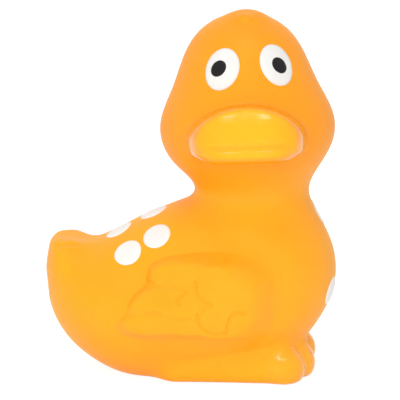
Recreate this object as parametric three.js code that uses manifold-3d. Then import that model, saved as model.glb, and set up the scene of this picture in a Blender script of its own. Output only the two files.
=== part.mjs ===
// Duck dog toy: one latex moulding with painted eyes and spots, modelled as one solid.
// Millimetres. +X points to the duck's breast, +Y to its left and +Z up, and Z = 0 is the flat sole.
import * as THREE from "three";
import { mergeVertices } from "three/addons/utils/BufferGeometryUtils.js";
import Module from "manifold-3d";

// Squareness of a plain round; higher ones have squarer shoulders
const ROUND = 2;

// Egg-shaped forms of the trunk: length along X, width along Y, height along Z, middle at forward and rise
const BELLY = { length: 65, width: 51, height: 38, forward: -2.5, rise: 15.5, pitch: 0 };
const RUMP = { length: 34.1, width: 40, height: 25.5, forward: -21.9, rise: 22.7, pitch: 0 };
const BACK = { length: 37, width: 34, height: 23, forward: -5, rise: 33, pitch: 18 };
const BREAST = { length: 48.2, width: 45, height: 46, forward: 15.7, rise: 28.2, pitch: 0 };
const TAIL = { length: 9, width: 24, height: 10.6, forward: -34.3, rise: 32.2, pitch: 0 };
const TAIL_SQUARENESS = 3.1;
const TAIL_DISH = { length: 18, width: 15, height: 9, forward: -31.5, rise: 41, pitch: 0 };
const TRUNK_BLEND = 8;
const TAIL_BLEND = 7;
const DISH_BLEND = 3;

// Neck: an upright round limb from inside the breast to inside the head
const NECK_RADIUS = 13.5;
const NECK_FORWARD = 18;
const NECK_FOOT = 38;
const NECK_LENGTH = 20;
const NECK_BLEND = 7;

// Head: its own frame stands on the neck, turned to the duck's right; side, front and up are measured there
const HEAD_FORWARD = 16.8;
const HEAD_RISE = 48;
const HEAD_TURN = -87;
const HEAD_TILT = 1.8;
const CHEEKS = { wide: 47.4, deep: 43, tall: 34.6, side: -0.8, front: 1, up: 19.6 };
const CROWN = { wide: 33.4, deep: 34, tall: 31.4, side: -1.2, front: 0, up: 34.9 };
const CROWN_NUB = { wide: 8.6, deep: 8.6, tall: 6, side: -0.2, front: 2, up: 47.8 };
const HEAD_BLEND = 9;
const NUB_BLEND = 4;

// Bill: an arch above the mouth and a squarer bowl below it, tapering to a blunt front that curls back
const BILL_WIDTH = 32.4;
const BILL_REACH = 14.2;
const BILL_ROOT = 6;
const BILL_SIDE = -1.4;
const BILL_FRONT = 19;
const BILL_UP = 18.9;
const BILL_PITCH = 8;
const BILL_ARCH = 9.9;
const BILL_BOWL = 4.9;
const BOWL_SQUARENESS = 4;
const SIDE_TAPER = 0.2;
const ARCH_TAPER = 0.06;
const PLAN_SQUARENESS = 3;
const BILL_SLANT = 0.2;
const CURL_BACK = 3.2;
const MOUTH = { wide: 20, deep: 3, tall: 1.8, drop: 0.6 };

// Feet: each has two toes that spread from one heel, and the other foot is the mirror image
const TOE_HEIGHT = 10.8;
const TOE_WIDTH = 12.4;
const TOE_RISE = 3.6;
const OUTER_TOE = { tip: 31.2, spread: 13.8 };
const INNER_TOE = { tip: 33.9, spread: 7.2 };
const HEEL = { height: 9.4, forward: -3, spread: 13, rise: 3.4 };

// Hollow along each flank, between the wing and the foot
const HOLLOW = { back: -13, front: 16, spread: 25.8, rise: 9.4, radius: 4.8 };
const HOLLOW_BLEND = 4;

// Wing: raised ovals on the flank, in X and Z, each turned by lean degrees; the left wing is the mirror image
const SHOULDER = { long: 26, tall: 26, forward: 11, rise: 22.9, lean: 0, raised: 2.4 };
const FEATHERS = [
  { long: 25, tall: 8.6, forward: 1.8, rise: 31.9, lean: 5, raised: 2.2 },
  { long: 28.6, tall: 8.8, forward: -1.4, rise: 25, lean: 8, raised: 2.2 },
  { long: 30, tall: 9.4, forward: -2.8, rise: 17.6, lean: 1, raised: 2.3 },
];
const WING_BLUNTNESS = 4;
const WING_SQUARENESS = 2.5;

// Paint: raised films on the surface nearest to the point given, turned by lean degrees
const EYE_WHITE = { wide: 9.4, tall: 11.6, film: 0.3 };
const EYE_PUPIL = { wide: 4.4, tall: 5.2, film: 0.6 };
const EYES = [
  { side: -7.4, front: 15.9, up: 38, lean: -9, pupilSide: -8.3, pupilUp: 38.2, pupilLean: -35 },
  { side: 7.3, front: 14.6, up: 38.5, lean: 9, pupilSide: 7.9, pupilUp: 38.3, pupilLean: 35 },
];
const SPOT = { across: 7.8, film: 0.3 };
const SPOTS = [
  { forward: -8.5, left: -13.4, rise: 39.9 },
  { forward: -16.2, left: -14, rise: 35.2 },
  { forward: -10.2, left: -1, rise: 43.7 },
  { forward: -19.6, left: -2.2, rise: 38.6 },
  { forward: -8.5, left: 11.5, rise: 41 },
  { forward: -16.2, left: 12, rise: 36.5 },
  { forward: 38.6, left: -4.8, rise: 23 },
  { forward: 34.5, left: 2.9, rise: 43.4 },
];

// Fineness of the surfaces
const BODY_CELL = 3.2;
const BILL_SEGMENTS = 44;
const BILL_RINGS = 6;
const MOUTH_SEGMENTS = 20;
const MOUTH_RINGS = 8;
const TOE_SEGMENTS = 18;
const TOE_RINGS = 4;
const OVAL_RINGS = 3;
const OVAL_SEGMENTS = 20;
const FILM_RINGS = 2;
const FILM_SEGMENTS = 14;
const RING_CROWDING = 0.6;
const OVAL_ROOT = 1.2;
const OVAL_EDGE = 0.5;
const WELD = 0.005;

const DUCK_ORANGE = 0xffad32;
const MIRROR_LEFT = new THREE.Matrix4().makeScale(1, -1, 1);

const wasm = await Module();
wasm.setup();

// Smooth union of two distances, rounded over the width given
function blend(a, b, width) {
  const overlap = Math.max(width - Math.abs(a - b), 0) / width;
  return Math.min(a, b) - (overlap * overlap * width) / 4;
}

// Cosine or sine of a turn, pressed outward so that a round made with them has squarer ends
function pressed(value, squareness) {
  return Math.sign(value) * Math.abs(value) ** (2 / squareness);
}

// Smooth intersection of two distances
function carve(a, b, width) {
  return -blend(-a, -b, width);
}

// Distance to an ellipsoid about the origin with the half axes given, squarer in the view along Y
function ellipsoidDistance(x, y, z, a, b, c, squareness) {
  const power = (value) => Math.abs(value) ** squareness;
  const flat = Math.max((power(x / a) + power(z / c)) ** (1 / squareness), 1e-6);
  const near = Math.hypot(flat, y / b);
  const slope = (value, half) => (flat * Math.abs(value / half / flat) ** (squareness - 1)) / half;
  return ((near - 1) * near) / Math.hypot(slope(x, a), y / (b * b), slope(z, c));
}

// Distance to one egg-shaped form of the trunk
function eggDistance(p, egg, squareness = ROUND) {
  const angle = THREE.MathUtils.degToRad(egg.pitch);
  const x = p.x - egg.forward;
  const z = p.z - egg.rise;
  const along = x * Math.cos(angle) + z * Math.sin(angle);
  const above = z * Math.cos(angle) - x * Math.sin(angle);
  const halves = [egg.length / 2, egg.width / 2, egg.height / 2];
  return ellipsoidDistance(along, p.y, above, ...halves, squareness);
}

// Distance to one rounded form of the head, in the head's frame
function headEggDistance(h, egg) {
  const halves = [egg.wide / 2, egg.deep / 2, egg.tall / 2];
  return ellipsoidDistance(h.x - egg.side, h.y - egg.front, h.z - egg.up, ...halves, ROUND);
}

// Distance to a round limb whose radius runs from one end to the other
function limbDistance(p, from, to, fromRadius, toRadius) {
  const axis = new THREE.Vector3().subVectors(to, from);
  const offset = new THREE.Vector3().subVectors(p, from);
  const share = THREE.MathUtils.clamp(offset.dot(axis) / axis.lengthSq(), 0, 1);
  return offset.addScaledVector(axis, -share).length() - fromRadius - (toRadius - fromRadius) * share;
}

// The head's frame: x is its side, y its front and z its up
function headMatrix() {
  const turn = THREE.MathUtils.degToRad(HEAD_TURN);
  const tilt = THREE.MathUtils.degToRad(HEAD_TILT);
  const front = new THREE.Vector3(Math.cos(turn), Math.sin(turn), 0);
  const level = new THREE.Vector3(-Math.sin(turn), Math.cos(turn), 0);
  const up = new THREE.Vector3(0, 0, 1);
  const side = level.clone().multiplyScalar(Math.cos(tilt)).addScaledVector(up, Math.sin(tilt));
  const crown = up.clone().multiplyScalar(Math.cos(tilt)).addScaledVector(level, -Math.sin(tilt));
  return new THREE.Matrix4().makeBasis(side, front, crown).setPosition(HEAD_FORWARD, 0, HEAD_RISE);
}

const HEAD_TO_BODY = headMatrix();
const BODY_TO_HEAD = HEAD_TO_BODY.clone().invert();

// The hollows of both flanks
function hollowDistance(p) {
  const flank = new THREE.Vector3(p.x, Math.abs(p.y), p.z);
  const back = new THREE.Vector3(HOLLOW.back, HOLLOW.spread, HOLLOW.rise);
  const front = new THREE.Vector3(HOLLOW.front, HOLLOW.spread, HOLLOW.rise);
  return limbDistance(flank, back, front, HOLLOW.radius, HOLLOW.radius);
}

function trunkDistance(p) {
  let distance = blend(eggDistance(p, BELLY), eggDistance(p, RUMP), TRUNK_BLEND);
  distance = blend(distance, eggDistance(p, BREAST), TRUNK_BLEND);
  distance = blend(distance, eggDistance(p, BACK), TRUNK_BLEND);
  distance = blend(distance, eggDistance(p, TAIL, TAIL_SQUARENESS), TAIL_BLEND);
  distance = carve(distance, -eggDistance(p, TAIL_DISH), DISH_BLEND);
  return carve(distance, -hollowDistance(p), HOLLOW_BLEND);
}

function skullDistance(p) {
  const h = p.clone().applyMatrix4(BODY_TO_HEAD);
  const dome = blend(headEggDistance(h, CHEEKS), headEggDistance(h, CROWN), HEAD_BLEND);
  return blend(dome, headEggDistance(h, CROWN_NUB), NUB_BLEND);
}

// Trunk, neck and head as one smooth skin
function skinDistance(p) {
  const low = new THREE.Vector3(NECK_FORWARD, 0, NECK_FOOT);
  const high = new THREE.Vector3(NECK_FORWARD, 0, NECK_FOOT + NECK_LENGTH);
  const neck = limbDistance(p, low, high, NECK_RADIUS, NECK_RADIUS);
  return blend(blend(trunkDistance(p), neck, NECK_BLEND), skullDistance(p), NECK_BLEND);
}

// The bill's frame: its root on the head, with the mouth as its level plane
function billMatrix() {
  const pitch = new THREE.Matrix4().makeRotationX(THREE.MathUtils.degToRad(BILL_PITCH));
  return HEAD_TO_BODY.clone().multiply(pitch.setPosition(BILL_SIDE, BILL_FRONT, BILL_UP));
}

// How far in front of its root the bill's front face lies, at a place across it
function billFront(side, up) {
  const across = Math.min(Math.abs(side) / (BILL_WIDTH / 2), 1);
  const above = Math.max(up, 0);
  const plan = BILL_REACH * (1 - across ** PLAN_SQUARENESS) ** (1 / PLAN_SQUARENESS);
  return plan - BILL_SLANT * above - CURL_BACK * (above / BILL_ARCH) ** 2;
}

// A point of the bill's outline, at a turn about its axis and a distance in front of its root
function billOutline(turn, front) {
  const upper = Math.sin(turn) > 0;
  const squareness = upper ? ROUND : BOWL_SQUARENESS;
  const half = BILL_WIDTH / 2 - SIDE_TAPER * front;
  const tall = upper ? BILL_ARCH - ARCH_TAPER * front : BILL_BOWL;
  return { side: half * pressed(Math.cos(turn), squareness), up: tall * pressed(Math.sin(turn), squareness) };
}

// Where the bill's outline meets its front face
function billRim(turn) {
  let rim = billOutline(turn, BILL_REACH);
  for (let round = 0; round < 20; round++) rim = billOutline(turn, billFront(rim.side, rim.up));
  return rim;
}

// The bill: rings across its front face, and a wall back to its root inside the head
function billSolid() {
  const turnOf = (_, segment) => (2 * Math.PI * segment) / BILL_SEGMENTS;
  const turns = Array.from({ length: BILL_SEGMENTS }, turnOf);
  const facePoint = (side, up) => new THREE.Vector3(side, billFront(side, up), up);
  const rims = turns.map(billRim);
  const roots = turns.map((turn) => billOutline(turn, 0));
  const points = [facePoint(0, 0), new THREE.Vector3(0, -BILL_ROOT, 0)];
  for (let ring = 1; ring <= BILL_RINGS; ring++) {
    const share = ring / BILL_RINGS;
    points.push(...rims.map((rim) => facePoint(share * rim.side, share * rim.up)));
  }
  points.push(...roots.map((root) => new THREE.Vector3(root.side, -BILL_ROOT, root.up)));
  const frame = billMatrix();
  points.forEach((point) => point.applyMatrix4(frame));
  return solidFrom(points, ovalTriangles(BILL_RINGS, BILL_SEGMENTS));
}

// What the mouth cuts out of the bill's front
function mouthSolid() {
  const groove = new THREE.SphereGeometry(1, MOUTH_SEGMENTS, MOUTH_RINGS);
  groove.scale(MOUTH.wide / 2, MOUTH.deep / 2, MOUTH.tall / 2).translate(0, BILL_REACH, -MOUTH.drop);
  return solidOfGeometry(groove.applyMatrix4(billMatrix()));
}

// Direction in which a distance grows fastest
function outward(distance, p) {
  const step = 0.02;
  const slope = new THREE.Vector3();
  for (const axis of ["x", "y", "z"]) {
    const ahead = p.clone();
    const behind = p.clone();
    ahead[axis] += step;
    behind[axis] -= step;
    slope[axis] = distance(ahead) - distance(behind);
  }
  return slope.divideScalar(2 * step);
}

// The point of the surface nearest to p
function settle(distance, p) {
  const point = p.clone();
  for (let round = 0; round < 8; round++) {
    const slope = outward(distance, point);
    point.addScaledVector(slope, -distance(point) / Math.max(slope.lengthSq(), 1e-6));
  }
  return point;
}

// Distances at the corners of a grid of cells round the box
function sampleGrid(distance, box, cell) {
  const span = box.max.clone().sub(box.min);
  const counts = span.toArray().map((length) => Math.ceil(length / cell) + 1);
  const corner = (i, j, k) => box.min.clone().add(new THREE.Vector3(i, j, k).multiplyScalar(cell));
  const index = (i, j, k) => (k * counts[1] + j) * counts[0] + i;
  const values = new Float64Array(counts[0] * counts[1] * counts[2]);
  for (let k = 0; k < counts[2]; k++)
    for (let j = 0; j < counts[1]; j++)
      for (let i = 0; i < counts[0]; i++) values[index(i, j, k)] = distance(corner(i, j, k));
  return { counts, corner, index, values };
}

// Middle of the places where the surface crosses the edges of one cell, or null if it misses the cell
function cellMiddle(grid, i, j, k) {
  const middle = new THREE.Vector3();
  let crossings = 0;
  for (let axis = 0; axis < 3; axis++)
    for (let edge = 0; edge < 4; edge++) {
      const start = [i, j, k];
      start[(axis + 1) % 3] += edge & 1;
      start[(axis + 2) % 3] += edge >> 1;
      const end = start.slice();
      end[axis] += 1;
      const a = grid.values[grid.index(...start)];
      const b = grid.values[grid.index(...end)];
      if (a < 0 === b < 0) continue;
      middle.add(grid.corner(...start).lerp(grid.corner(...end), a / (a - b)));
      crossings++;
    }
  return crossings ? middle.divideScalar(crossings) : null;
}

// The four-sided faces round every grid edge that the surface crosses
function cellFaces(grid, ids) {
  const [nx, ny, nz] = grid.counts;
  const faces = [];
  for (let k = 1; k < nz - 1; k++)
    for (let j = 1; j < ny - 1; j++)
      for (let i = 1; i < nx - 1; i++)
        for (let axis = 0; axis < 3; axis++) {
          const end = [i, j, k];
          end[axis] += 1;
          const inside = grid.values[grid.index(i, j, k)] < 0;
          if (inside === grid.values[grid.index(...end)] < 0) continue;
          const face = [[0, 0], [1, 0], [1, 1], [0, 1]].map(([u, v]) => {
            const cell = [i, j, k];
            cell[(axis + 1) % 3] -= 1 - u;
            cell[(axis + 2) % 3] -= 1 - v;
            return ids.get(grid.index(...cell));
          });
          faces.push(inside ? face : face.reverse());
        }
  return faces;
}

// Evens out the points along the surface
function relax(distance, points, faces, rounds) {
  for (let round = 0; round < rounds; round++) {
    const sums = points.map(() => new THREE.Vector3());
    const counts = points.map(() => 0);
    for (const face of faces)
      face.forEach((id, n) => {
        sums[id].add(points[face[(n + 1) % 4]]).add(points[face[(n + 3) % 4]]);
        counts[id] += 2;
      });
    points.forEach((point, id) => point.copy(settle(distance, sums[id].divideScalar(counts[id]))));
  }
}

// A closed solid from points and triangles, turned to face out
function solidFrom(points, triangles) {
  let volume = 0;
  for (const [a, b, c] of triangles) volume += points[a].dot(points[b].clone().cross(points[c]));
  const facing = volume < 0 ? triangles.map((triangle) => triangle.toReversed()) : triangles;
  const vertProperties = new Float32Array(points.flatMap((point) => point.toArray()));
  const triVerts = new Uint32Array(facing.flat());
  return new wasm.Manifold(new wasm.Mesh({ numProp: 3, vertProperties, triVerts, tolerance: WELD }));
}

// A closed solid from a three.js geometry
function solidOfGeometry(geometry) {
  geometry.deleteAttribute("normal").deleteAttribute("uv");
  const merged = mergeVertices(geometry);
  const place = merged.attributes.position;
  const pointAt = (_, id) => new THREE.Vector3().fromBufferAttribute(place, id);
  const points = Array.from({ length: place.count }, pointAt);
  const triangles = [];
  for (let id = 0; id < merged.index.count; id += 3) {
    const triangle = [0, 1, 2].map((corner) => merged.index.getX(id + corner));
    if (new Set(triangle).size === 3) triangles.push(triangle);
  }
  return solidFrom(points, triangles);
}

// The closed surface where a distance is zero, inside the box
function solidOfDistance(distance, box, cell) {
  const grid = sampleGrid(distance, box, cell);
  const [nx, ny, nz] = grid.counts;
  const points = [];
  const ids = new Map();
  for (let k = 0; k < nz - 1; k++)
    for (let j = 0; j < ny - 1; j++)
      for (let i = 0; i < nx - 1; i++) {
        const middle = cellMiddle(grid, i, j, k);
        if (!middle) continue;
        ids.set(grid.index(i, j, k), points.length);
        points.push(settle(distance, middle));
      }
  const faces = cellFaces(grid, ids);
  relax(distance, points, faces, 2);
  const triangles = faces.flatMap(([a, b, c, d]) =>
    points[a].distanceTo(points[c]) < points[b].distanceTo(points[d])
      ? [[a, b, c], [a, c, d]]
      : [[a, b, d], [b, c, d]],
  );
  return solidFrom(points, triangles);
}

// A box that holds every point given, with room round it
function boxRound(points, room) {
  return new THREE.Box3().setFromPoints(points).expandByScalar(room);
}

// Corner points of an egg-shaped form's own box, wide enough for any pitch
function eggReach(egg) {
  const reach = Math.max(egg.length, egg.height) / 2;
  const middle = new THREE.Vector3(egg.forward, 0, egg.rise);
  const half = new THREE.Vector3(reach, egg.width / 2, reach);
  return [middle.clone().sub(half), middle.clone().add(half)];
}

// Corner points of a head form's own box, wide enough for any turn
function headEggReach(egg) {
  const reach = Math.max(egg.wide, egg.deep, egg.tall) / 2;
  const middle = new THREE.Vector3(egg.side, egg.front, egg.up).applyMatrix4(HEAD_TO_BODY);
  return [middle.clone().subScalar(reach), middle.clone().addScalar(reach)];
}

function skinSolid() {
  const reaches = [BELLY, RUMP, BACK, BREAST, TAIL].flatMap(eggReach);
  const heads = [CHEEKS, CROWN, CROWN_NUB].flatMap(headEggReach);
  return solidOfDistance(skinDistance, boxRound([...reaches, ...heads], 2 * BODY_CELL), BODY_CELL);
}

// A toe is a round limb turned about its axis, widened across, from the heel to the toe's rounded tip
function toeSolid(toe) {
  const heel = new THREE.Vector3(HEEL.forward, -HEEL.spread, HEEL.rise);
  const end = new THREE.Vector3(toe.tip - TOE_HEIGHT / 2, -toe.spread, TOE_RISE);
  const length = end.distanceTo(heel);
  const limb = new THREE.LatheGeometry(limbProfile(HEEL.height / 2, TOE_HEIGHT / 2, length), TOE_SEGMENTS);
  const along = end.clone().sub(heel).normalize();
  const across = new THREE.Vector3(0, 0, 1).cross(along).normalize();
  const above = along.clone().cross(across);
  const place = new THREE.Matrix4().makeBasis(across, along, above.negate()).setPosition(heel);
  return solidOfGeometry(limb.scale(TOE_WIDTH / TOE_HEIGHT, 1, 1).applyMatrix4(place));
}

// Outline of a limb with two round ends, from its axis at one end to its axis at the other
function limbProfile(fromRadius, toRadius, length) {
  const profile = [new THREE.Vector2(0, -fromRadius)];
  for (let step = 1; step <= TOE_RINGS; step++) {
    const turn = (Math.PI / 2) * (step / TOE_RINGS - 1);
    profile.push(new THREE.Vector2(fromRadius * Math.cos(turn), fromRadius * Math.sin(turn)));
  }
  for (let step = 0; step < TOE_RINGS; step++) {
    const turn = (Math.PI / 2) * (step / TOE_RINGS);
    profile.push(new THREE.Vector2(toRadius * Math.cos(turn), length + toRadius * Math.sin(turn)));
  }
  profile.push(new THREE.Vector2(0, length + toRadius));
  return profile;
}

// The surface under a point of an oval's plane, looking down along its normal
function dropOnto(distance, p, normal) {
  const point = p.clone().addScaledVector(normal, OVAL_ROOT);
  for (let round = 0; round < 40; round++) point.addScaledVector(normal, -0.9 * distance(point));
  return point;
}

// An oval patch on the skin, raised above it and rooted below, in a frame of width, height and normal
function ovalSolid(frame, oval, raise, rings, segments) {
  const wide = new THREE.Vector3();
  const tall = new THREE.Vector3();
  const normal = new THREE.Vector3();
  frame.extractBasis(wide, tall, normal);
  const middle = new THREE.Vector3().setFromMatrixPosition(frame);
  const shareOf = (ring) => (ring / rings) ** RING_CROWDING;
  const under = (ring, turn) => {
    const share = shareOf(ring);
    const across = (oval.wide / 2) * share * pressed(Math.cos(turn), oval.squareness);
    const along = (oval.tall / 2) * share * pressed(Math.sin(turn), oval.squareness);
    const flat = middle.clone().addScaledVector(wide, across).addScaledVector(tall, along);
    return dropOnto(skinDistance, flat, normal);
  };
  const rim = [];
  const points = [raise(0), -OVAL_ROOT].map((height) => under(0, 0).addScaledVector(normal, height));
  for (let ring = 1; ring <= rings; ring++)
    for (let segment = 0; segment < segments; segment++) {
      const base = under(ring, (2 * Math.PI * segment) / segments);
      if (ring === rings) rim.push(base.clone().addScaledVector(normal, -OVAL_ROOT));
      points.push(base.addScaledVector(normal, raise(shareOf(ring))));
    }
  points.push(...rim);
  return solidFrom(points, ovalTriangles(rings, segments));
}

// Triangles of an oval patch: a fan and rings on top, a wall, and a fan below
function ovalTriangles(rings, segments) {
  const id = (ring, segment) => 2 + (ring - 1) * segments + (segment % segments);
  const triangles = [];
  for (let segment = 0; segment < segments; segment++) {
    triangles.push([0, id(1, segment), id(1, segment + 1)]);
    for (let ring = 1; ring <= rings; ring++) {
      triangles.push([id(ring, segment), id(ring + 1, segment), id(ring + 1, segment + 1)]);
      triangles.push([id(ring, segment), id(ring + 1, segment + 1), id(ring, segment + 1)]);
    }
    triangles.push([1, id(rings + 1, segment + 1), id(rings + 1, segment)]);
  }
  return triangles;
}

// A frame on the right flank: width along X, height along Z, leaning by the degrees given
function flankFrame(oval) {
  const lean = THREE.MathUtils.degToRad(oval.lean);
  const wide = new THREE.Vector3(Math.cos(lean), 0, Math.sin(lean));
  const tall = new THREE.Vector3(-Math.sin(lean), 0, Math.cos(lean));
  const place = new THREE.Vector3(oval.forward, -BELLY.width / 2, oval.rise);
  return new THREE.Matrix4().makeBasis(wide, tall, new THREE.Vector3(0, -1, 0)).setPosition(place);
}

// One cushion-like oval of the wing, highest in its middle
function cushionSolid(cushion) {
  const oval = { wide: cushion.long, tall: cushion.tall, squareness: WING_SQUARENESS };
  const raise = (share) => OVAL_EDGE + (cushion.raised - OVAL_EDGE) * (1 - share ** WING_BLUNTNESS);
  return ovalSolid(flankFrame(cushion), oval, raise, OVAL_RINGS, OVAL_SEGMENTS);
}

// A frame on the skin at the point nearest to p, with its height turned by lean degrees from the upright
function skinFrame(p, lean) {
  const place = settle(skinDistance, p);
  const normal = outward(skinDistance, place).normalize();
  const upright = new THREE.Vector3(0, 0, 1).addScaledVector(normal, -normal.z).normalize();
  const tall = upright.applyAxisAngle(normal, THREE.MathUtils.degToRad(lean));
  const wide = tall.clone().cross(normal);
  return new THREE.Matrix4().makeBasis(wide, tall, normal).setPosition(place);
}

function filmSolid(p, lean, film) {
  const oval = { wide: film.wide, tall: film.tall, squareness: ROUND };
  return ovalSolid(skinFrame(p, lean), oval, () => film.film, FILM_RINGS, FILM_SEGMENTS);
}

function eyeSolids(eye) {
  const white = new THREE.Vector3(eye.side, eye.front, eye.up).applyMatrix4(HEAD_TO_BODY);
  const pupil = new THREE.Vector3(eye.pupilSide, eye.front, eye.pupilUp).applyMatrix4(HEAD_TO_BODY);
  return [filmSolid(white, eye.lean, EYE_WHITE), filmSolid(pupil, eye.pupilLean, EYE_PUPIL)];
}

function spotSolid(spot) {
  const film = { wide: SPOT.across, tall: SPOT.across, film: SPOT.film };
  return filmSolid(new THREE.Vector3(spot.forward, spot.left, spot.rise), 0, film);
}

// The solid on the right flank or foot, and its mirror image on the left
function bothSides(solid) {
  return [solid, solid.transform(MIRROR_LEFT.toArray())];
}

// Everything under the sole
function underSole(solid) {
  const { min, max } = solid.boundingBox();
  const deep = new THREE.BoxGeometry(2 * (max[0] - min[0]), 2 * (max[1] - min[1]), 2 * (max[2] - min[2]));
  return solidOfGeometry(deep.translate(0, 0, min[2] - max[2]));
}

function duckSolid() {
  const bill = billSolid().subtract(mouthSolid());
  const wing = [SHOULDER, ...FEATHERS].map(cushionSolid).flatMap(bothSides);
  const toes = [OUTER_TOE, INNER_TOE].map(toeSolid).flatMap(bothSides);
  const films = [...EYES.flatMap(eyeSolids), ...SPOTS.map(spotSolid)];
  let duck = skinSolid();
  for (const piece of [bill, ...toes, ...wing, ...films]) duck = duck.add(piece);
  return duck.subtract(underSole(duck));
}

function geometryOf(solid) {
  const { vertProperties, triVerts } = solid.getMesh();
  const geometry = new THREE.BufferGeometry();
  geometry.setAttribute("position", new THREE.BufferAttribute(vertProperties, 3));
  geometry.setIndex(new THREE.BufferAttribute(triVerts, 1));
  geometry.computeVertexNormals();
  return geometry;
}

function duckBody() {
  const latex = new THREE.MeshStandardMaterial({ color: DUCK_ORANGE, roughness: 0.45, metalness: 0 });
  const body = new THREE.Mesh(geometryOf(duckSolid()), latex);
  body.name = "duck_body";
  return body;
}

const duck = new THREE.Group();
duck.add(duckBody());

export default duck;
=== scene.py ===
"""Looks of the duck dog toy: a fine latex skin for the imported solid, painted eyes and spots, and a studio.

The skin is drawn from forms like the solid's, in millimetres, and scaled to metres at the end.
"""
import math

import bpy
import numpy as np
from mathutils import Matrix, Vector


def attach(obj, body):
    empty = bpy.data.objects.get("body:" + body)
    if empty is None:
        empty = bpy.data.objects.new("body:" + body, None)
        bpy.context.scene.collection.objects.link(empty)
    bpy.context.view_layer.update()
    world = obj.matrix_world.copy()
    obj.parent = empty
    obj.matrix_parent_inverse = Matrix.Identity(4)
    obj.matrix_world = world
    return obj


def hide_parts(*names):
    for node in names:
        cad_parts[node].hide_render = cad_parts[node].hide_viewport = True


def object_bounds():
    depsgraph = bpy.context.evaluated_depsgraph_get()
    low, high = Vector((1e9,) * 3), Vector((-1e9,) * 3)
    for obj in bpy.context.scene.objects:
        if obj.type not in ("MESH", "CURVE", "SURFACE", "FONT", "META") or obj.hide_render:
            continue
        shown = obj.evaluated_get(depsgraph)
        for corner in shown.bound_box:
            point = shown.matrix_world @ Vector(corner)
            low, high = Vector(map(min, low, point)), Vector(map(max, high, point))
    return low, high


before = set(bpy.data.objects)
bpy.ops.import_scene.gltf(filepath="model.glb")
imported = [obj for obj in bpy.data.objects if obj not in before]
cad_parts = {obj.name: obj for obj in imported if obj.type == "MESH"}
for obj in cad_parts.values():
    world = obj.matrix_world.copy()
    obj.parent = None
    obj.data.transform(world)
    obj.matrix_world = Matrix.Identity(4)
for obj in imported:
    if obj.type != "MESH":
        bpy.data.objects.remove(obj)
cad_low, cad_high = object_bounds()

# Metres in a millimetre, the least divisor, and the squareness of a plain oval
MM = 0.001
TINY = 1e-6
ROUND = 2

# Egg-shaped forms of the trunk
BELLY = dict(length=65, width=51, height=38, forward=-2.5, rise=15.5, pitch=0)
RUMP = dict(length=34.1, width=40, height=25.5, forward=-21.9, rise=22.7, pitch=0)
BACK = dict(length=37, width=34, height=23, forward=-5, rise=33, pitch=18)
BREAST = dict(length=48.2, width=45, height=46, forward=15.7, rise=28.2, pitch=0)
TAIL = dict(length=9, width=24, height=10.6, forward=-34.3, rise=32.2, pitch=0)
TAIL_SQUARENESS = 3.1
TAIL_DISH = dict(length=18, width=15, height=9, forward=-31.5, rise=41, pitch=0)
TRUNK_BLEND = 8
TAIL_BLEND = 7
DISH_BLEND = 3

# Neck and head; side, front and up are measured in the head's own frame
NECK_RADIUS = 13.5
NECK_FOOT = (18, 0, 38)
NECK_TOP = (18, 0, 58)
NECK_BLEND = 7
HEAD_PLACE = (16.8, 0, 48)
HEAD_TURN = -87
HEAD_TILT = 1.8
CHEEKS = dict(wide=47.4, deep=43, tall=34.6, side=-0.8, front=1, up=19.6)
CROWN = dict(wide=33.4, deep=34, tall=31.4, side=-1.2, front=0, up=34.9)
HEAD_BLEND = 9
CROWN_NUB = dict(wide=8.6, deep=8.6, tall=6, side=-0.2, front=2, up=47.8)
NUB_BLEND = 4
CROWN_BUTTON = dict(wide=4.8, deep=4.8, tall=3.4, side=-0.6, front=5.8, up=49.5)
BUTTON_BLEND = 0.8

# Bill
BILL_WIDTH = 32.4
BILL_REACH = 14.2
BILL_PLACE = (-1.4, 19, 18.9)
BILL_PITCH = 8
BILL_ARCH = 9.9
BILL_BOWL = 4.6
BOWL_SQUARENESS = 4
SIDE_TAPER = 0.2
ARCH_TAPER = 0.06
PLAN_SQUARENESS = 3
BILL_SLANT = 0.2
CURL_BACK = 2.6
BILL_EDGE = 1.2
BOWL_EDGE = 3
MOUTH_DROP = 0.3
MOUTH_DEPTH = 0.7
UPPER_LIP = 0.6
LOWER_LIP = 0.8
MOUTH_HALF = 13
MOUTH_FADE = 2.2
LIP_ROLL = dict(raised=1.8, below=2.8, tall=2.3)
BILL_BLEND = 1

# Feet: the left foot mirrors the right one
TOE_HEIGHT = 10
TOE_WIDTH = 12.4
TOE_RISE = 3.6
TOES = [dict(tip=31.2, spread=13.8), dict(tip=33.9, spread=7.2)]
HEEL = dict(height=9.4, forward=-3, spread=13, rise=3.4)
KNUCKLE = dict(radius=5.8, behind=5.6, rise=3.6)
KNUCKLE_BLEND = 1.5
TOE_BLEND = 1
FOOT_BLEND = 4
SOLE_BLEND = 1.2

# Slanted flanks under the wings, in degrees from upright and in millimetres from the middle
TUCK_LEAN = 32
TUCK_REACH = 13.7
TUCK_BLEND = 5

# Soft creases on both flanks through points near the skin, and how far round them the skin is creased
TAIL_CREASE = dict(
    path=[(-35.6, 9.2, 35.7), (-32.9, 9, 36), (-30.6, 7.9, 35.8)],
    depth=0.5,
    width=0.6,
)
FOOT_CREASE = dict(
    path=[(-1.5, 21, 6.3), (6.3, 20.6, 7.7), (14.3, 19.5, 8.9), (18, 18.7, 9.6)],
    depth=0.4,
    width=1.5,
)
CREASE_ZONE = 4

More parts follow.
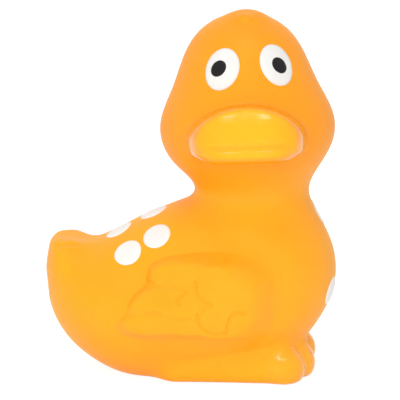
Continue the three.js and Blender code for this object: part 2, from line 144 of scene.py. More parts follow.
# Wing relief on both flanks, in X and Z
WING_ZONE = dict(forward=6, rise=24, half_long=32, half_tall=22, inner=4)
SHOULDER = dict(long=26, tall=26, forward=11, rise=22.9, lean=0, slant=0, squareness=2.8)
FEATHERS = [
    dict(long=25, tall=8.6, forward=1.8, rise=31.9, lean=5, slant=0.3, squareness=2.8),
    dict(long=27, tall=8.6, forward=-1.4, rise=25.7, lean=6, slant=0.9, squareness=3),
    dict(long=30, tall=11, forward=-3.6, rise=17.4, lean=1, slant=0.4, squareness=2.4),
]
FEATHER_JOIN = 2.6
WING_RAISED = 2.4
WING_SLOPE_BACK = 2
WING_SLOPE_FRONT = 7.5

# Softening of the wing's edge to the front and below, as shares of the shoulder's size
SOFT_FORWARD = 0.2
SOFT_LOW = 0.5
LEVEL_STEEPNESS = 4

# Trough round the front of the wing, just outside its edge
WING_TROUGH = 1.2
TROUGH_WIDTH = 3.5
TROUGH_OUT = 1
TROUGH_LOW = 1.2

# Lines between the feathers, in X and Z
FEATHER_SEAM = [(-10.4, 28.7), (-6, 28.5), (-1.1, 28.2)]
SEAM_DEPTH = 0.3
SEAM_WIDTH = 0.9
GROOVES = [
    [(-10.4, 21.7), (-6.1, 21.3), (-0.9, 20.2), (1.4, 20.3)],
    [(0.2, 27.4), (-1.6, 25.7), (-1.9, 24.1)],
    [(2.5, 29.7), (3.1, 26.9), (5, 24.8), (6.8, 24)],
    [(5, 23.1), (3.5, 21.4), (3.6, 19.1), (5.1, 17), (8, 15.7), (11, 15.9)],
    [(10.9, 16.4), (11.5, 18.9), (12.7, 21.3), (15.7, 21.5)],
]
GROOVE_DEPTH = 0.6
GROOVE_WIDTH = 0.4

# Paint films at the skin's points nearest to their places; a dome is the share taken off at the rim
EYE_WHITE = dict(wide=9.4, tall=11.6, film=0.3, dome=0)
EYE_PUPIL = dict(wide=4.4, tall=5.2, film=0.6, dome=0.4)
EYES = dict(
    right=dict(white=(-7.4, 15.9, 38), lean=-9, pupil=(-8.3, 15.9, 38.2), pupil_lean=-35),
    left=dict(white=(7.3, 14.6, 38.5), lean=9, pupil=(7.9, 14.6, 38.3), pupil_lean=35),
)
SPOT = dict(wide=7.8, tall=7.8, film=0.3, dome=0)
SPOTS = [
    (-8.5, -13.4, 39.9),
    (-16.2, -14, 35.2),
    (-10.2, -1, 43.7),
    (-19.6, -2.2, 38.6),
    (-8.5, 11.5, 41),
    (-16.2, 12, 36.5),
    (38.6, -4.8, 23),
    (34.5, 2.9, 43.4),
]

# Fineness of the meshes
CELL = 0.52
MARGIN = 4
COARSE = 4
FINE_REACH = 2.5
SHEET_ROUNDS = 4
FILM_RINGS = 8
FILM_SEGMENTS = 64
RING_CROWDING = 0.7

# Rims of the films, and how their points drop onto the skin
FILM_ROOT = 0.4
RIM_THINNING = 0.8
RIM_SHARPNESS = 12
DROP_HEIGHT = 1.5
DROP_ROUNDS = 40
DROP_SHARE = 0.9

# Marks for the material: where the skin is yellower, partly painted light and painted shade, and where it is
# glossier
# painted shade: how much of its yellow the bill loses towards its sides
BILL_SIDE_SHADE = 0.8
# painted light: the share of the bill's yellow on the feet, lighter than the shaded belly above them
FOOT_LIT_YELLOW = 0.3
# painted shade: the bill's yellow fades out at its lower edge over this height, starting this far below the
# edge
LOWER_EDGE_SHADE = 2.6
LOWER_EDGE_SHADE_BELOW = 0.4
GLOSS_CLEAR = 2.5
TOE_GLOSS_FROM = 20
TOE_GLOSS_RAMP = 4

# Colours in linear light, most of them with a second one that clouds the first
BODY_ORANGE = ((1.0, 0.375, 0.006), (1.0, 0.4, 0.008))
# painted shade: the head is a darker orange than the body
HEAD_SHADE_ORANGE = ((1.0, 0.325, 0.006), (1.0, 0.35, 0.008))
# the bill's yellower latex; where it is laid on it also carries painted light and painted shade
BILL_YELLOW = (1.0, 0.46, 0.003)
EYE_PAINT = ((0.78, 0.77, 0.74), (0.75, 0.735, 0.705))
PUPIL_PAINT = ((0.012, 0.01, 0.01), (0.008, 0.007, 0.007))
# painted light: the eyes' white paint made brighter for the spots
BRIGHTENED_SPOT_PAINT = ((0.85, 0.83, 0.8), (0.82, 0.8, 0.77))

# Floor: its colour for the light that it sheds, and its colour and glow where it is seen
FLOOR_LIT = (0.94, 0.94, 0.94)
FLOOR_SEEN = (0.3, 0.3, 0.3)
FLOOR_GLOW = 0.87
FLOOR_ROUGH = 0.9
FLOOR_HALF = 3

# Heights in metres between which the body's orange turns into the head's darker orange, which is painted
# shade
HEAD_SHADE_FROM = 0.045
HEAD_SHADE_TO = 0.068

# Finish of the latex and the paint, with noise scales per metre
CLOUD_SCALE = 45
GRAIN_SCALE = 700
PORE_SCALE = 1400
NOISE_FROM = 0.3
NOISE_TO = 0.7
LATEX_ROUGH = (0.45, 0.53)
GLOSS_ROUGH_LOSS = 0.32
LATEX_SHINE = 0.35
SUBSURFACE = 0.3
SUBSURFACE_RADIUS = (1.0, 0.3, 0.1)
SUBSURFACE_SCALE = 0.0025
PORE_STRENGTH = 0.06
BUMP_DISTANCE = 0.0004
PAINT_CLOUD_SCALE = 260
PAINT_SHEEN_SCALE = 500
PAINT_UNEVEN = 0.05
BRUSH_STRENGTH = 0.08

# Photograph's view
VIEW_AZIMUTH = 3
VIEW_ELEVATION = 12
VIEW_DISTANCE = 0.7
VIEW_TARGET = (0.0025, 0, 0.0469)
VIEW_LENS = 230.6
VIEW_SENSOR = 36

# Light: strength of the white surroundings, and softboxes with place, size in metres and power
FILL = 0.46
SOFTBOXES = dict(
    front=dict(place=(-0.03, -0.77, 0.25), size=0.8, power=5.6, mirrored=False),
    left=dict(place=(-0.8, 0.15, 0.3), size=0.6, power=0.5, mirrored=False),
    right=dict(place=(0.8, 0.15, 0.3), size=0.6, power=0.3, mirrored=False),
    back=dict(place=(0, 0.5, 0.7), size=0.6, power=2.5, mirrored=False),
    left_top=dict(place=(-0.08, -0.3, 0.74), size=0.09, power=0.34, mirrored=True),
    right_top=dict(place=(0.12, -0.3, 0.74), size=0.09, power=0.34, mirrored=True),
)


def blend(a, b, width):
    """Smooth union of two distances, rounded over the width given."""
    overlap = np.maximum(width - np.abs(a - b), 0) / width
    return np.minimum(a, b) - overlap * overlap * width / 4


def carve(a, b, width):
    """Smooth intersection of two distances."""
    return -blend(-a, -b, width)


def smooth_step(value):
    share = np.clip(value, 0, 1)
    return share * share * (3 - 2 * share)


def ellipsoid(offset, halves, squareness=ROUND):
    """Distance to an ellipsoid about the origin, squarer in its side view above a squareness of 2."""
    halves = np.asarray(halves)
    scaled = np.abs(offset) / halves
    flat = np.maximum((scaled[:, ::2] ** squareness).sum(1) ** (1 / squareness), TINY)
    near = np.hypot(flat, scaled[:, 1])
    slope = scaled.copy()
    slope[:, ::2] = flat[:, None] * (scaled[:, ::2] / flat[:, None]) ** (squareness - 1)
    return (near - 1) * near / np.linalg.norm(slope / halves, axis=1)


def egg(p, form, squareness=ROUND):
    """Distance to one egg-shaped form of the trunk."""
    angle = math.radians(form["pitch"])
    x = p[:, 0] - form["forward"]
    z = p[:, 2] - form["rise"]
    along = x * math.cos(angle) + z * math.sin(angle)
    above = z * math.cos(angle) - x * math.sin(angle)
    halves = (form["length"] / 2, form["width"] / 2, form["height"] / 2)
    return ellipsoid(np.stack([along, p[:, 1], above], 1), halves, squareness)


def limb(p, start, end, radius):
    """Distance to a round limb between two points."""
    start = np.asarray(start, float)
    axis = np.asarray(end, float) - start
    offset = p - start
    share = np.clip(offset @ axis / (axis @ axis), 0, 1)
    return np.linalg.norm(offset - share[:, None] * axis, axis=1) - radius


def head_axes():
    """Side, front and crown of the head, as rows."""
    turn = math.radians(HEAD_TURN)
    tilt = math.radians(HEAD_TILT)
    front = np.array([math.cos(turn), math.sin(turn), 0])
    level = np.array([-math.sin(turn), math.cos(turn), 0])
    up = np.array([0, 0, 1])
    side = level * math.cos(tilt) + up * math.sin(tilt)
    crown = up * math.cos(tilt) - level * math.sin(tilt)
    return np.array([side, front, crown])


HEAD_AXES = head_axes()


def to_head(p):
    return (p - np.array(HEAD_PLACE)) @ HEAD_AXES.T


def from_head(h):
    return np.asarray(h, float) @ HEAD_AXES + np.array(HEAD_PLACE)


def head_egg(h, form):
    """Distance to one rounded form of the head."""
    middle = np.array([form["side"], form["front"], form["up"]])
    return ellipsoid(h - middle, (form["wide"] / 2, form["deep"] / 2, form["tall"] / 2))


def both_flanks(p):
    return np.stack([p[:, 0], np.abs(p[:, 1]), p[:, 2]], 1)


def trunk(p):
    """Distance to the trunk, dished at the tail and tucked in under the wings."""
    distance = blend(egg(p, BELLY), egg(p, RUMP), TRUNK_BLEND)
    distance = blend(distance, egg(p, BREAST), TRUNK_BLEND)
    distance = blend(distance, egg(p, BACK), TRUNK_BLEND)
    distance = blend(distance, egg(p, TAIL, TAIL_SQUARENESS), TAIL_BLEND)
    distance = carve(distance, -egg(p, TAIL_DISH), DISH_BLEND)
    lean = math.radians(TUCK_LEAN)
    tuck = np.abs(p[:, 1]) * math.cos(lean) - p[:, 2] * math.sin(lean) - TUCK_REACH
    return carve(distance, tuck, TUCK_BLEND)


def skull(h):
    distance = blend(head_egg(h, CHEEKS), head_egg(h, CROWN), HEAD_BLEND)
    distance = blend(distance, head_egg(h, CROWN_NUB), NUB_BLEND)
    return blend(distance, head_egg(h, CROWN_BUTTON), BUTTON_BLEND)


def skin(p):
    """Trunk, neck and head as one smooth skin."""
    neck = limb(p, NECK_FOOT, NECK_TOP, NECK_RADIUS)
    return blend(blend(trunk(p), neck, NECK_BLEND), skull(to_head(p)), NECK_BLEND)


def oval(u, v, long, tall, squareness):
    """Distance in a plane to an oval of the half sizes given, with squarer ends above a squareness of 2."""
    along = np.abs(u) / long + TINY
    across = np.abs(v) / tall + TINY
    share = (along**squareness + across**squareness) ** (1 / squareness)
    slope_u = (along / share) ** (squareness - 1) / long
    slope_v = (across / share) ** (squareness - 1) / tall
    return (share - 1) / np.sqrt(slope_u**2 + slope_v**2)


def to_bill(p):
    """Side, front and height of points in the bill's frame."""
    h = to_head(p) - np.array(BILL_PLACE)
    pitch = math.radians(BILL_PITCH)
    front = h[:, 1] * math.cos(pitch) + h[:, 2] * math.sin(pitch)
    up = h[:, 2] * math.cos(pitch) - h[:, 1] * math.sin(pitch)
    return h[:, 0], front, up


def bill_outline(side, front, up):
    """Distance to the bill's tapering outline as seen from its front: an arch over a bowl."""
    reach = np.clip(front, 0, BILL_REACH)
    half = BILL_WIDTH / 2 - SIDE_TAPER * reach
    arch = oval(side, up, half, BILL_ARCH - ARCH_TAPER * reach, ROUND)
    bowl = oval(side, up, half, BILL_BOWL, BOWL_SQUARENESS)
    return np.where(up > 0, arch, bowl)


def mouth(side, up):
    """Depth of the groove at the mouth less the roll of the lower lip; both fade towards the corners."""
    above = up + MOUTH_DROP
    lip = np.where(above > 0, UPPER_LIP, LOWER_LIP)
    fade = smooth_step((1 - np.abs(side) / MOUTH_HALF) * MOUTH_FADE)
    roll = LIP_ROLL["raised"] * np.exp(-(((above + LIP_ROLL["below"]) / LIP_ROLL["tall"]) ** 2))
    return (MOUTH_DEPTH * np.exp(-((above / lip) ** 2)) - roll) * fade


def bill(p):
    """Distance to the bill: its outline met by its plan, which curls back with height, with the mouth."""
    side, front, up = to_bill(p)
    above = np.clip(up, 0, BILL_ARCH)
    curled = front + BILL_SLANT * above + CURL_BACK * (above / BILL_ARCH) ** 2
    plan = oval(side, curled, BILL_WIDTH / 2, BILL_REACH, PLAN_SQUARENESS)
    edge = BOWL_EDGE + (BILL_EDGE - BOWL_EDGE) * smooth_step(0.5 + up / BILL_BOWL)
    return carve(bill_outline(side, front, up), plan, edge) + mouth(side, up) * (front > 0)


def toe(p, sizes):
    """Distance to one toe: a round limb from the heel to its tip, widened across."""
    heel = np.array([HEEL["forward"], HEEL["spread"], HEEL["rise"]])
    axis = np.array([sizes["tip"] - TOE_HEIGHT / 2, sizes["spread"], TOE_RISE]) - heel
    length = np.linalg.norm(axis)
    along = axis / length
    across = np.cross((0, 0, 1), along)
    across /= np.linalg.norm(across)
    offset = both_flanks(p) - heel
    a = offset @ along
    c = offset @ across * TOE_HEIGHT / TOE_WIDTH
    u = offset @ np.cross(along, across)
    share = np.clip(a / length, 0, 1)
    radius = (HEEL["height"] + (TOE_HEIGHT - HEEL["height"]) * share) / 2
    shank = np.sqrt((a - share * length) ** 2 + c * c + u * u) - radius
    middle = np.array([sizes["tip"] - KNUCKLE["behind"], sizes["spread"], KNUCKLE["rise"]])
    knuckle = np.linalg.norm(both_flanks(p) - middle, axis=1) - KNUCKLE["radius"]
    return blend(shank, knuckle, KNUCKLE_BLEND)


def feet(p):
    return blend(toe(p, TOES[0]), toe(p, TOES[1]), TOE_BLEND)


def wing_oval(x, z, form):
    """Distance to one oval of the wing in the flank's plane."""
    lean = math.radians(form["lean"])
    u = (x - form["forward"]) * math.cos(lean) + (z - form["rise"]) * math.sin(lean)
    v = (z - form["rise"]) * math.cos(lean) - (x - form["forward"]) * math.sin(lean)
    return oval(u - form["slant"] * v, v, form["long"] / 2, form["tall"] / 2, form["squareness"])


def smooth_path(points, steps=12):
    """Points along a smooth curve through the points given."""
    points = np.asarray(points, float)
    ends = np.vstack([2 * points[0] - points[1], points, 2 * points[-1] - points[-2]])
    path = []
    for i in range(len(points) - 1):
        a, b, c, d = ends[i : i + 4]
        for t in np.linspace(0, 1, steps, endpoint=False):
            turn = (2 * a - 5 * b + 4 * c - d) * t * t + (3 * b - a - 3 * c + d) * t**3
            path.append(b + ((c - a) * t + turn) / 2)
    return np.array(path + [points[-1]])


GROOVE_PATHS = [smooth_path(points) for points in GROOVES]
SEAM_PATH = smooth_path(FEATHER_SEAM)


def groove(places, path, depth, width):
    """Depth of a soft groove along a path."""
    nearest = np.full(len(places), np.inf)
    for point in path:
        nearest = np.minimum(nearest, ((places - point) ** 2).sum(1))
    return depth * np.exp(-nearest / width**2)


def wing(p):
    """Height of the wing over the flanks: short slopes at the feather tips, soft ones in front and below."""
    height = np.zeros(len(p))
    near = np.abs(p[:, 0] - WING_ZONE["forward"]) < WING_ZONE["half_long"]
    near &= np.abs(p[:, 2] - WING_ZONE["rise"]) < WING_ZONE["half_tall"]
    near &= np.abs(p[:, 1]) > WING_ZONE["inner"]
    x, z = p[near, 0], p[near, 2]
    outline = wing_oval(x, z, SHOULDER)
    for feather in FEATHERS:
        outline = blend(outline, wing_oval(x, z, feather), FEATHER_JOIN)
    forward = smooth_step(x / SHOULDER["long"] + SOFT_FORWARD)
    low = smooth_step((SHOULDER["rise"] - z) / SHOULDER["tall"] * LEVEL_STEEPNESS - SOFT_LOW)
    soft = np.maximum(forward, low)
    inward = np.clip(-outline / (WING_SLOPE_BACK + (WING_SLOPE_FRONT - WING_SLOPE_BACK) * soft), 0, 1)
    firm = inward * (2 - inward)
    rise = firm + (smooth_step(inward) - firm) * soft
    places = np.stack([x, z], 1)
    lines = groove(places, SEAM_PATH, SEAM_DEPTH, SEAM_WIDTH)
    for path in GROOVE_PATHS:
        lines = np.maximum(lines, groove(places, path, GROOVE_DEPTH, GROOVE_WIDTH))
    upper = smooth_step((z - SHOULDER["rise"]) / SHOULDER["tall"] * LEVEL_STEEPNESS + TROUGH_LOW)
    trough = WING_TROUGH * forward * upper * np.exp(-(((outline - TROUGH_OUT) / TROUGH_WIDTH) ** 2))
    height[near] = WING_RAISED * rise - lines - trough
    return height


def moulding(p):
    """Distance to the moulding without its fine creases."""
    distance = blend(skin(p) - wing(p), bill(p), BILL_BLEND)
    return blend(distance, feet(p), FOOT_BLEND)


def creases(p):
    """Depth of the short creases on the tail and above the feet."""
    depth = np.zeros(len(p))
    flanks = both_flanks(p)
    for crease, path in CREASE_PATHS:
        near = (np.abs(flanks - path.mean(0)) < np.ptp(path, 0) / 2 + CREASE_ZONE).all(1)
        depth[near] = groove(flanks[near], path, crease["depth"], crease["width"])
    return depth


def duck(p):
    """Distance to the whole toy."""
    return carve(moulding(p) + creases(p), -p[:, 2], SOLE_BLEND)


def slope_of(distance, p, step=0.02):
    """Direction in which a distance grows fastest."""
    slope = np.empty_like(p)
    for axis in range(3):
        shift = np.zeros(3)
        shift[axis] = step
        slope[:, axis] = (distance(p + shift) - distance(p - shift)) / (2 * step)
    return slope


def settle(distance, p, rounds=4):
    """The surface's points nearest to the points given."""
    for _ in range(rounds):
        slope = slope_of(distance, p)
        steep = np.maximum((slope**2).sum(1), TINY)
        p = p - (distance(p) / steep)[:, None] * slope
    return p


CREASE_PATHS = [
    (crease, settle(moulding, smooth_path(crease["path"])))
    for crease in (TAIL_CREASE, FOOT_CREASE)
]


def grid_values(distance, low, counts):
    """Distances at the corners of the grid: fine ones near the surface, and only their sign elsewhere."""
    coarse = [np.arange(0, n + COARSE, COARSE) for n in counts]
    corners = np.stack(np.meshgrid(*coarse, indexing="ij"), -1).reshape(-1, 3)
    rough = distance(low + CELL * corners).reshape([len(c) for c in coarse])
    for axis in range(3):
        rough = np.repeat(rough, COARSE, axis)
    half = COARSE // 2
    rough = rough[half : half + counts[0], half : half + counts[1], half : half + counts[2]]
    values = np.where(rough < 0, -1.0, 1.0)
    near = np.argwhere(np.abs(rough) < FINE_REACH * COARSE * CELL)
    values[tuple(near.T)] = distance(low + CELL * near)
    return values


def part_sheets(values):
    """Turns over the weakest corner of each grid square that the surface crosses on all four sides."""
    for _ in range(SHEET_ROUNDS):
        for axis in range(3):
            layers = np.moveaxis(values, axis, 0)
            inside = layers < 0
            first, second = inside[:, :-1, :-1], inside[:, 1:, :-1]
            third, fourth = inside[:, 1:, 1:], inside[:, :-1, 1:]
            for i, j, k in np.argwhere((first == third) & (second == fourth) & (first != second)):
                square = layers[i, j : j + 2, k : k + 2]
                weakest = np.unravel_index(np.abs(square).argmin(), square.shape)
                square[weakest] = -square[weakest]
    return values


def crossing_cells(values):
    """Crossed grid edges: where the surface crosses each, and the four cells round it in turn."""
    places = []
    cells = []
    for axis in range(3):
        one, two = (axis + 1) % 3, (axis + 2) % 3
        start = np.take(values, range(values.shape[axis] - 1), axis)
        end = np.take(values, range(1, values.shape[axis]), axis)
        edges = np.argwhere((start < 0) != (end < 0))
        a = start[tuple(edges.T)]
        b = end[tuple(edges.T)]
        place = edges.astype(float)
        place[:, axis] += a / (a - b)
        ring = []
        for u, v in [(-1, -1), (0, -1), (0, 0), (-1, 0)]:
            cell = edges.copy()
            cell[:, one] += u
            cell[:, two] += v
            ring.append(cell)
        ring = np.stack(ring, 1)
        ring[a > 0] = ring[a > 0][:, ::-1]
        places.append(place)
        cells.append(ring)
    return np.concatenate(places), np.concatenate(cells)


def surface_mesh(distance, low, high):
    """Four-sided faces along the surface, with points that lie on it."""
    low = np.asarray(low, float)
    counts = np.ceil((np.asarray(high) - low) / CELL).astype(int) + 1
    values = part_sheets(grid_values(distance, low, counts))
    places, cells = crossing_cells(values)
    keys = np.ravel_multi_index(tuple(cells.reshape(-1, 3).T), tuple(counts))
    names, faces = np.unique(keys, return_inverse=True)
    faces = faces.reshape(-1, 4)
    points = np.zeros((len(names), 3))
    hits = np.bincount(faces.ravel(), minlength=len(names))
    for axis in range(3):
        points[:, axis] = np.bincount(faces.ravel(), np.repeat(places[:, axis], 4), len(names)) / hits
    points = settle(distance, low + CELL * points)
    return relaxed(distance, points, faces, rounds=2), faces


def relaxed(distance, points, faces, rounds):
    """Evens out the points along the surface."""
    for _ in range(rounds):
        sums = np.zeros_like(points)
        hits = np.zeros(len(points))
        for corner in range(4):
            for other in (1, 3):
                np.add.at(sums, faces[:, corner], points[faces[:, (corner + other) % 4]])
                np.add.at(hits, faces[:, corner], 1)
        points = settle(distance, sums / hits[:, None], rounds=3)
    return points


def new_piece(name, points, faces, material):
    """A smooth mesh piece from points in millimetres."""
    mesh = bpy.data.meshes.new(name)
    mesh.from_pydata((points * MM).tolist(), [], [list(map(int, face)) for face in faces])
    mesh.polygons.foreach_set("use_smooth", [True] * len(mesh.polygons))
    mesh.materials.append(material)
    mesh.validate()
    piece = bpy.data.objects.new(name, mesh)
    bpy.context.scene.collection.objects.link(piece)
    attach(piece, "root")
    return piece


def skin_frame(place, lean):
    """Nearest place on the skin, with its width, its height leaning by the degrees given, and its normal."""
    at = settle(duck, np.atleast_2d(np.asarray(place, float)), rounds=8)
    normal = slope_of(duck, at)[0]
    normal /= np.linalg.norm(normal)
    upright = np.array([0, 0, 1]) - normal * normal[2]
    upright /= np.linalg.norm(upright)
    across = np.cross(upright, normal)
    turn = math.radians(lean)
    tall = upright * math.cos(turn) - across * math.sin(turn)
    return at[0], np.cross(tall, normal), tall, normal


def film_points(place, lean, sizes):
    """Rings of an oval film on the skin, its rim below the skin, and the middles of its top and foot."""
    at, wide, tall, normal = skin_frame(place, lean)
    turns = np.arange(FILM_SEGMENTS) * 2 * math.pi / FILM_SEGMENTS
    shares = (np.arange(1, FILM_RINGS + 1) / FILM_RINGS) ** RING_CROWDING
    flat = [at + share * (np.outer(np.cos(turns), wide) * sizes["wide"] / 2
                          + np.outer(np.sin(turns), tall) * sizes["tall"] / 2) for share in shares]
    under = np.concatenate(flat + [at[None]]) + DROP_HEIGHT * normal
    for _ in range(DROP_ROUNDS):
        under = under - DROP_SHARE * duck(under)[:, None] * normal
    rise = np.append(np.repeat(shares, FILM_SEGMENTS), 0)
    thick = sizes["film"] * (1 - sizes["dome"] * rise**2) * (1 - RIM_THINNING * rise**RIM_SHARPNESS)
    top = under + thick[:, None] * normal
    foot = under[-1 - FILM_SEGMENTS :] - FILM_ROOT * normal
    return np.concatenate([top[:-1], foot[:-1], top[-1:], foot[-1:]])


def film_faces():
    def ring(r, s):
        return r * FILM_SEGMENTS + s % FILM_SEGMENTS

    top = (FILM_RINGS + 1) * FILM_SEGMENTS
    faces = []
    for s in range(FILM_SEGMENTS):
        faces.append((top, ring(0, s), ring(0, s + 1)))
        for r in range(FILM_RINGS):
            faces.append((ring(r, s), ring(r + 1, s), ring(r + 1, s + 1), ring(r, s + 1)))
        faces.append((top + 1, ring(FILM_RINGS, s + 1), ring(FILM_RINGS, s)))
    return faces


def film(name, place, lean, sizes, material):
    return new_piece(name, film_points(place, lean, sizes), film_faces(), material)


def new_material(name):
    """A material with its node tree and its shader."""
    material = bpy.data.materials.new(name)
    material.use_nodes = True
    tree = material.node_tree
    shader = tree.nodes["Principled BSDF"]
    return material, tree, shader


def node(tree, kind, **settings):
    made = tree.nodes.new(kind)
    for key, value in settings.items():
        if key in made.inputs:
            made.inputs[key].default_value = value
        else:
            setattr(made, key, value)
    return made


def noise(tree, scale, detail=3.0):
    """Noise over the object's own coordinates."""
    place = node(tree, "ShaderNodeTexCoord")
    made = node(tree, "ShaderNodeTexNoise", Scale=scale, Detail=detail)
    tree.links.new(place.outputs["Object"], made.inputs["Vector"])
    return made.outputs["Fac"]


def seen_share(tree):
    """1 where the camera sees the surface, itself or in gloss, and 0 for the light that it sheds."""
    rays = node(tree, "ShaderNodeLightPath")
    either = node(tree, "ShaderNodeMath", operation="MAXIMUM")
    tree.links.new(rays.outputs["Is Camera Ray"], either.inputs[0])
    tree.links.new(rays.outputs["Is Glossy Ray"], either.inputs[1])
    return either.outputs[0]


def height_share(tree, low, high):
    """Share from 0 at a low to 1 at a high place of the object, in metres."""
    place = node(tree, "ShaderNodeTexCoord")
    parts = node(tree, "ShaderNodeSeparateXYZ")
    tree.links.new(place.outputs["Object"], parts.inputs[0])
    made = node(tree, "ShaderNodeMapRange", interpolation_type="SMOOTHSTEP")
    made.inputs["From Min"].default_value = low
    made.inputs["From Max"].default_value = high
    tree.links.new(parts.outputs["Z"], made.inputs["Value"])
    return made.outputs["Result"]


def mixed_colour(tree, share, first, second):
    """First and second colour, or outputs, mixed by a share."""
    made = node(tree, "ShaderNodeMix", data_type="RGBA")
    tree.links.new(share, made.inputs["Factor"])
    for socket, colour in (("A", first), ("B", second)):
        slot = [s for s in made.inputs if s.name == socket and s.type == "RGBA"][0]
        if isinstance(colour, tuple):
            slot.default_value = (*colour, 1)
        else:
            tree.links.new(colour, slot)
    return [s for s in made.outputs if s.type == "RGBA"][0]


def ranged(tree, value, low, high):
    """A noise value spread over a range."""
    made = node(tree, "ShaderNodeMapRange")
    made.inputs["From Min"].default_value = NOISE_FROM
    made.inputs["From Max"].default_value = NOISE_TO
    made.inputs["To Min"].default_value = low
    made.inputs["To Max"].default_value = high
    tree.links.new(value, made.inputs["Value"])
    return made.outputs["Result"]


def add_bump(tree, shader, height, strength, distance):
    bump = node(tree, "ShaderNodeBump", Strength=strength, Distance=distance)
    tree.links.new(height, bump.inputs["Height"])
    tree.links.new(bump.outputs["Normal"], shader.inputs["Normal"])


def latex_material():
    """Satin orange latex, a little translucent and glossier on the bill and toes; yellower on the bill and
    feet, partly painted light, and a darker orange on the head that is painted shade.
    """
    material, tree, shader = new_material("latex")
    cloudy = ranged(tree, noise(tree, CLOUD_SCALE), 0, 1)
    body = mixed_colour(tree, cloudy, *BODY_ORANGE)
    # the head's darker orange, blended in with height below, is painted shade
    head = mixed_colour(tree, cloudy, *HEAD_SHADE_ORANGE)
    orange = mixed_colour(tree, height_share(tree, HEAD_SHADE_FROM, HEAD_SHADE_TO), body, head)
    # the bill mark gives the bill's own yellow together with painted light and painted shade, and painted
    # light on the feet
    bill_tone_and_light = node(tree, "ShaderNodeAttribute", attribute_name="bill")
    colour = mixed_colour(tree, bill_tone_and_light.outputs["Fac"], orange, BILL_YELLOW)
    tree.links.new(colour, shader.inputs["Base Color"])
    gloss = node(tree, "ShaderNodeAttribute", attribute_name="gloss")
    polished = node(tree, "ShaderNodeMath", operation="MULTIPLY_ADD")
    tree.links.new(gloss.outputs["Fac"], polished.inputs[0])
    polished.inputs[1].default_value = -GLOSS_ROUGH_LOSS
    tree.links.new(ranged(tree, noise(tree, GRAIN_SCALE), *LATEX_ROUGH), polished.inputs[2])
    tree.links.new(polished.outputs[0], shader.inputs["Roughness"])
    shader.inputs["Specular IOR Level"].default_value = LATEX_SHINE
    shader.inputs["Subsurface Weight"].default_value = SUBSURFACE
    shader.inputs["Subsurface Radius"].default_value = SUBSURFACE_RADIUS
    shader.inputs["Subsurface Scale"].default_value = SUBSURFACE_SCALE
    add_bump(tree, shader, noise(tree, PORE_SCALE, detail=2), PORE_STRENGTH, BUMP_DISTANCE)
    return material


def paint_material(name, pale, deep, rough, shine):
    """Brushed-on paint with a faintly uneven tone and gloss."""
    material, tree, shader = new_material(name)
    colour = mixed_colour(tree, ranged(tree, noise(tree, PAINT_CLOUD_SCALE), 0, 1), pale, deep)
    tree.links.new(colour, shader.inputs["Base Color"])
    sheen = ranged(tree, noise(tree, PAINT_SHEEN_SCALE), rough - PAINT_UNEVEN, rough + PAINT_UNEVEN)
    tree.links.new(sheen, shader.inputs["Roughness"])
    shader.inputs["Specular IOR Level"].default_value = shine
    add_bump(tree, shader, noise(tree, GRAIN_SCALE, detail=2), BRUSH_STRENGTH, BUMP_DISTANCE)
    return material


def mark(body, name, share):
    """Keeps a share from 0 to 1 at each point, for the material."""
    made = body.data.attributes.new(name, "FLOAT", "POINT")
    made.data.foreach_set("value", share.astype(np.float32))


def make_body():
    """The whole moulding as one skin, with the bill and feet marked for a yellower tone, partly painted
    light and painted shade, and the bill and toes for gloss.
    """
    low = np.array(cad_low) / MM - MARGIN
    high = np.array(cad_high) / MM + MARGIN
    points, faces = surface_mesh(duck, low, high)
    body = new_piece("duck_skin", points, faces, latex_material())
    clear = smooth_step(skin(points) / GLOSS_CLEAR)
    side, front, up = to_bill(points)
    # painted shade: the yellow lessens towards the bill's sides and fades at its lower edge
    middle = 1 - BILL_SIDE_SHADE * np.clip(np.abs(side) / (BILL_WIDTH / 2), 0, 1) ** 2
    near_bill = smooth_step(1 - bill(points))
    near_feet = smooth_step(1 - feet(points))
    above_shaded_edge = smooth_step((up + BILL_BOWL + LOWER_EDGE_SHADE_BELOW) / LOWER_EDGE_SHADE)
    bill_yellow_with_shade = near_bill * smooth_step(-bill_outline(side, front, up)) * middle * above_shaded_edge
    # the feet take part of the yellow as painted light
    mark(body, "bill", np.maximum(bill_yellow_with_shade, FOOT_LIT_YELLOW * near_feet))
    near_tips = near_feet * smooth_step((points[:, 0] - TOE_GLOSS_FROM) / TOE_GLOSS_RAMP)
    mark(body, "gloss", clear * np.maximum(near_bill, near_tips))
    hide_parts("duck_body")


def make_paint():
    white = paint_material("white_paint", *EYE_PAINT, rough=0.45, shine=0.4)
    black = paint_material("black_paint", *PUPIL_PAINT, rough=0.32, shine=0.2)
    for side, eye in EYES.items():
        film("eye_white_" + side, from_head(eye["white"]), eye["lean"], EYE_WHITE, white)
        film("pupil_" + side, from_head(eye["pupil"]), eye["pupil_lean"], EYE_PUPIL, black)
    # painted light: the spots get a brighter copy of the white paint
    bright = paint_material("brightened_spot_paint", *BRIGHTENED_SPOT_PAINT, rough=0.45, shine=0.4)
    for number, spot in enumerate(SPOTS, 1):
        film(f"spot_{number}", spot, 0, SPOT, bright)


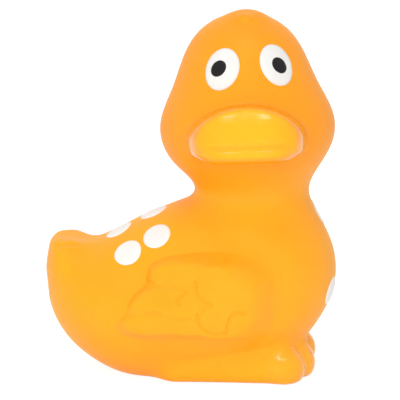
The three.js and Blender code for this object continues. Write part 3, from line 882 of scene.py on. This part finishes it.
def make_floor():
    """A pale floor that the camera sees as white, with the toy's shadow on it."""
    mesh = bpy.data.meshes.new("floor")
    corners = [(FLOOR_HALF * x, FLOOR_HALF * y, 0) for x, y in [(-1, -1), (1, -1), (1, 1), (-1, 1)]]
    mesh.from_pydata(corners, [], [(0, 1, 2, 3)])
    floor = bpy.data.objects.new("floor", mesh)
    bpy.context.scene.collection.objects.link(floor)
    material, tree, shader = new_material("pale_floor")
    seen = seen_share(tree)
    paper = mixed_colour(tree, seen, FLOOR_LIT, FLOOR_SEEN)
    tree.links.new(paper, shader.inputs["Base Color"])
    shader.inputs["Roughness"].default_value = FLOOR_ROUGH
    shader.inputs["Emission Color"].default_value = (1, 1, 1, 1)
    glow = node(tree, "ShaderNodeMath", operation="MULTIPLY")
    glow.inputs[1].default_value = FLOOR_GLOW
    tree.links.new(seen, glow.inputs[0])
    tree.links.new(glow.outputs[0], shader.inputs["Emission Strength"])
    mesh.materials.append(material)


def make_world():
    """White all round: full white where it is seen, and a softer fill for the light on the toy."""
    world = bpy.data.worlds.new("studio")
    bpy.context.scene.world = world
    world.use_nodes = True
    tree = world.node_tree
    background = tree.nodes["Background"]
    background.inputs["Color"].default_value = (1, 1, 1, 1)
    level = node(tree, "ShaderNodeMapRange")
    level.inputs["To Min"].default_value = FILL
    level.inputs["To Max"].default_value = 1.0
    tree.links.new(seen_share(tree), level.inputs["Value"])
    tree.links.new(level.outputs["Result"], background.inputs["Strength"])


def softbox(name, place, size, power, mirrored):
    """A square lamp that faces the toy, seen in its gloss or not."""
    lamp = bpy.data.lights.new(name, "AREA")
    lamp.size = size
    lamp.energy = power
    box = bpy.data.objects.new(name, lamp)
    box.location = place
    box.visible_glossy = mirrored
    box.rotation_mode = "QUATERNION"
    aim = Vector(VIEW_TARGET) - Vector(place)
    box.rotation_quaternion = aim.to_track_quat("-Z", "Y")
    bpy.context.scene.collection.objects.link(box)


def make_camera():
    lens = bpy.data.cameras.new("camera")
    lens.sensor_width = VIEW_SENSOR
    lens.lens = VIEW_LENS
    camera = bpy.data.objects.new("camera", lens)
    a = math.radians(VIEW_AZIMUTH)
    e = math.radians(VIEW_ELEVATION)
    back = Vector((math.sin(a) * math.cos(e), -math.cos(a) * math.cos(e), math.sin(e)))
    camera.location = Vector(VIEW_TARGET) + back * VIEW_DISTANCE
    camera.rotation_mode = "QUATERNION"
    camera.rotation_quaternion = (-back).to_track_quat("-Z", "Y")
    bpy.context.scene.collection.objects.link(camera)
    bpy.context.scene.camera = camera


make_camera()
make_body()
make_paint()
make_floor()
make_world()
for side, box in SOFTBOXES.items():
    softbox(side + "_softbox", **box)
bpy.context.scene.view_settings.view_transform = "Standard"
